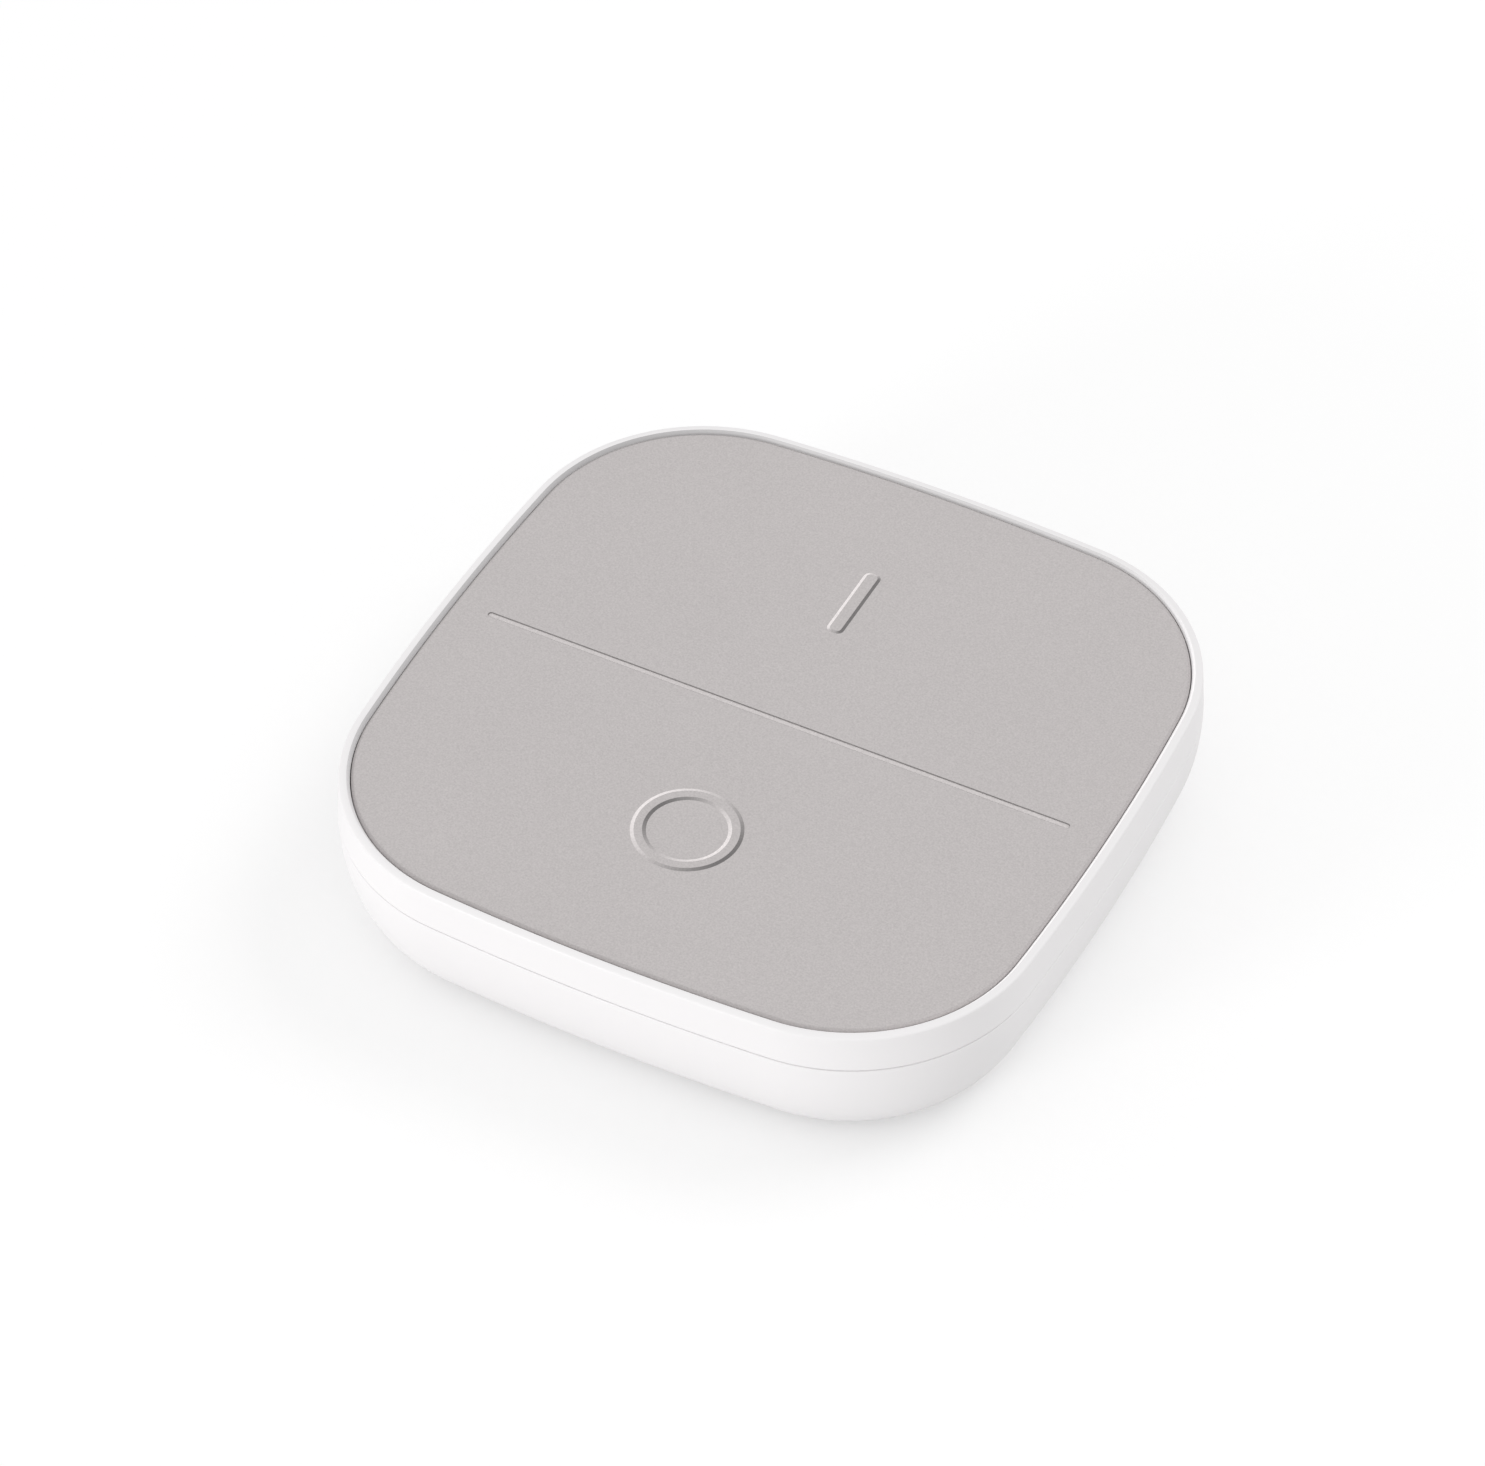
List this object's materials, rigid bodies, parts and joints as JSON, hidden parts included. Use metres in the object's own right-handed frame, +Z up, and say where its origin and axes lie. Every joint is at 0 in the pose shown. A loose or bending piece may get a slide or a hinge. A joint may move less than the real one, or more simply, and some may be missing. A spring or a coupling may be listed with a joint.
{
  "type": "wireless light controller",
  "caption": "Palm-size wireless light controller: soft ON and OFF keys in a rounded square housing, with a twist-off coin cell cover below.",
  "frame": {"origin": "middle of the area it stands on, at the height of the table", "axes": "+Z up out of the keys, +X along the groove between the keys, +Y towards the ON key"},
  "size_m": [0.0604, 0.0604, 0.0137],
  "materials": {
    "white_plastic": "white moulded plastic with a fine satin surface",
    "soft_grey": "soft-touch grey, matt, with a fine speckled grain",
    "carrier_plastic": "light grey moulded plastic, matt",
    "board_laminate": "glass laminate under green solder mask",
    "module_laminate": "thin laminate under dark blue solder mask",
    "switch_plastic": "black moulded plastic",
    "plunger_plastic": "ivory moulded plastic",
    "chip_plastic": "black epoxy moulding",
    "small_part_body": "sintered chip parts with tinned ends",
    "spring_steel": "bright rolled spring steel",
    "tin_plate": "tin plate, half bright",
    "nickel_plate": "nickel-plated steel",
    "screw_steel": "zinc-plated steel",
    "cell_case": "polished nickel-plated case of the coin cell",
    "foot_rubber": "pale grey non-slip rubber"
  },
  "bodies": {
    "housing": {"lower_shell": "white_plastic", "upper_frame": "white_plastic", "inner_carrier": "carrier_plastic", "circuit_board": "board_laminate", "radio_module_board": "module_laminate", "radio_shield_can": "tin_plate", "radio_chip": "chip_plastic", "crystal": "nickel_plate", "surface_mount_parts": "small_part_body", "on_switch_base": "switch_plastic", "off_switch_base": "switch_plastic", "on_switch_cover": "tin_plate", "off_switch_cover": "tin_plate", "on_switch_dome": "spring_steel", "off_switch_dome": "spring_steel", "coin_cell": "cell_case", "battery_positive_contact": "nickel_plate", "battery_negative_contact": "nickel_plate", "housing_screws": "screw_steel", "feet": "foot_rubber"},
    "on_key": {"on_key_plate": "carrier_plastic", "on_key_pad": "soft_grey"},
    "off_key": {"off_key_plate": "carrier_plastic", "off_key_pad": "soft_grey"},
    "on_plunger": {"on_switch_plunger": "plunger_plastic"},
    "off_plunger": {"off_switch_plunger": "plunger_plastic"},
    "battery_door": {"battery_cover": "white_plastic"}
  },
  "joints": [
    {"name": "on_key_press", "type": "hinge", "parent": "housing", "child": "on_key", "pos_m": [0, 0, 0.0119], "axis": [-1, 0, 0], "range_deg": [0, 1], "stiffness_Nm_per_rad": 0.3, "springref_deg": -2.86},
    {"name": "off_key_press", "type": "hinge", "parent": "housing", "child": "off_key", "pos_m": [0, 0, 0.0119], "axis": [1, 0, 0], "range_deg": [0, 1], "stiffness_Nm_per_rad": 0.3, "springref_deg": -2.86},
    {"name": "on_switch_travel", "type": "slide", "parent": "housing", "child": "on_plunger", "axis": [0, 0, -1], "range_m": [0, 0.00026], "deforming": ["on_switch_dome"]},
    {"name": "off_switch_travel", "type": "slide", "parent": "housing", "child": "off_plunger", "axis": [0, 0, -1], "range_m": [0, 0.00026], "deforming": ["off_switch_dome"]},
    {"name": "battery_cover_turn", "type": "hinge", "parent": "housing", "child": "battery_door", "pos_m": [0, -0.0048, 0.0004], "axis": [0, 0, -1], "range_deg": [0, 35]}
  ],
  "couplings": [
    {"joint": "on_switch_travel", "follows": "on_key_press", "m_per_rad": 0.0144},
    {"joint": "off_switch_travel", "follows": "off_key_press", "m_per_rad": 0.0144}
  ]
}
